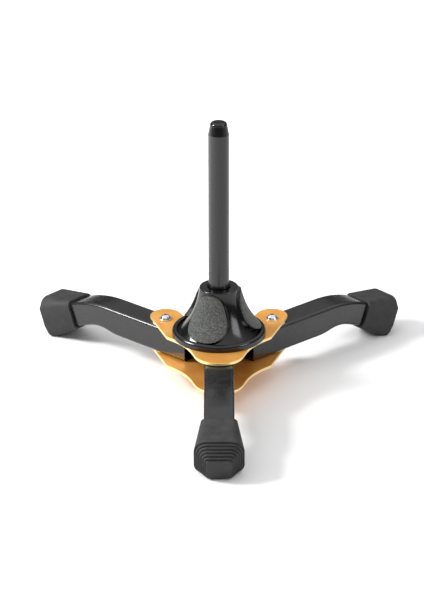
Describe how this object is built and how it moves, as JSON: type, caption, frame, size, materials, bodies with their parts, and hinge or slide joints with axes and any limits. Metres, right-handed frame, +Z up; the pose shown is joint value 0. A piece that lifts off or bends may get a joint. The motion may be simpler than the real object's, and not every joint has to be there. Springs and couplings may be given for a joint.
{
  "type": "trumpet stand",
  "caption": "Folding trumpet stand: booted tube legs in a gold two-plate hub, a padded bell cone and an upright post that goes inside the bell.",
  "frame": {"origin": "on the floor, at the middle of the footprint of the open stand (bounding box bottom centre)", "axes": "+Z up along the post, -Y towards the fixed front leg, +X towards the stand's right-hand leg seen from the front"},
  "size_m": [0.2594, 0.2512, 0.1919],
  "materials": {
    "gold_plate": "gold plated, satin",
    "black_paint": "satin black paint",
    "boot_rubber": "matte moulded",
    "chrome_steel": "bright plated",
    "plain_steel": "turned, unplated",
    "nylon": "natural",
    "black_plastic": "moulded, slight gloss",
    "felt": "grey felt"
  },
  "bodies": {
    "hub": {"bottom_plate": "gold_plate", "top_plate": "gold_plate", "leg_front": "black_paint", "boot_front": "boot_rubber", "pivot_bolts": "chrome_steel", "pivot_nuts": "chrome_steel", "pivot_sleeves": "plain_steel", "upper_friction_washers": "nylon", "lower_friction_washers": "nylon", "centre_bolt": "chrome_steel", "centre_washer": "chrome_steel", "centre_sleeve": "plain_steel", "locating_screw": "chrome_steel", "locating_nut": "chrome_steel", "post_tube": "black_paint", "post_insert": "plain_steel", "post_cap": "black_plastic", "bell_cone": "black_plastic", "pad_front": "felt", "pad_right": "felt", "pad_left": "felt"},
    "left_leg": {"leg_left": "black_paint", "boot_left": "boot_rubber"},
    "right_leg": {"leg_right": "black_paint", "boot_right": "boot_rubber"}
  },
  "joints": [
    {"name": "left_leg_pivot", "type": "hinge", "parent": "hub", "child": "left_leg", "pos_m": [-0.03682, 0.04341, 0.02682], "axis": [0, 0, 1], "range_deg": [0, 131]},
    {"name": "right_leg_pivot", "type": "hinge", "parent": "hub", "child": "right_leg", "pos_m": [0.03682, 0.04341, 0.02682], "axis": [0, 0, -1], "range_deg": [0, 131]}
  ]
}
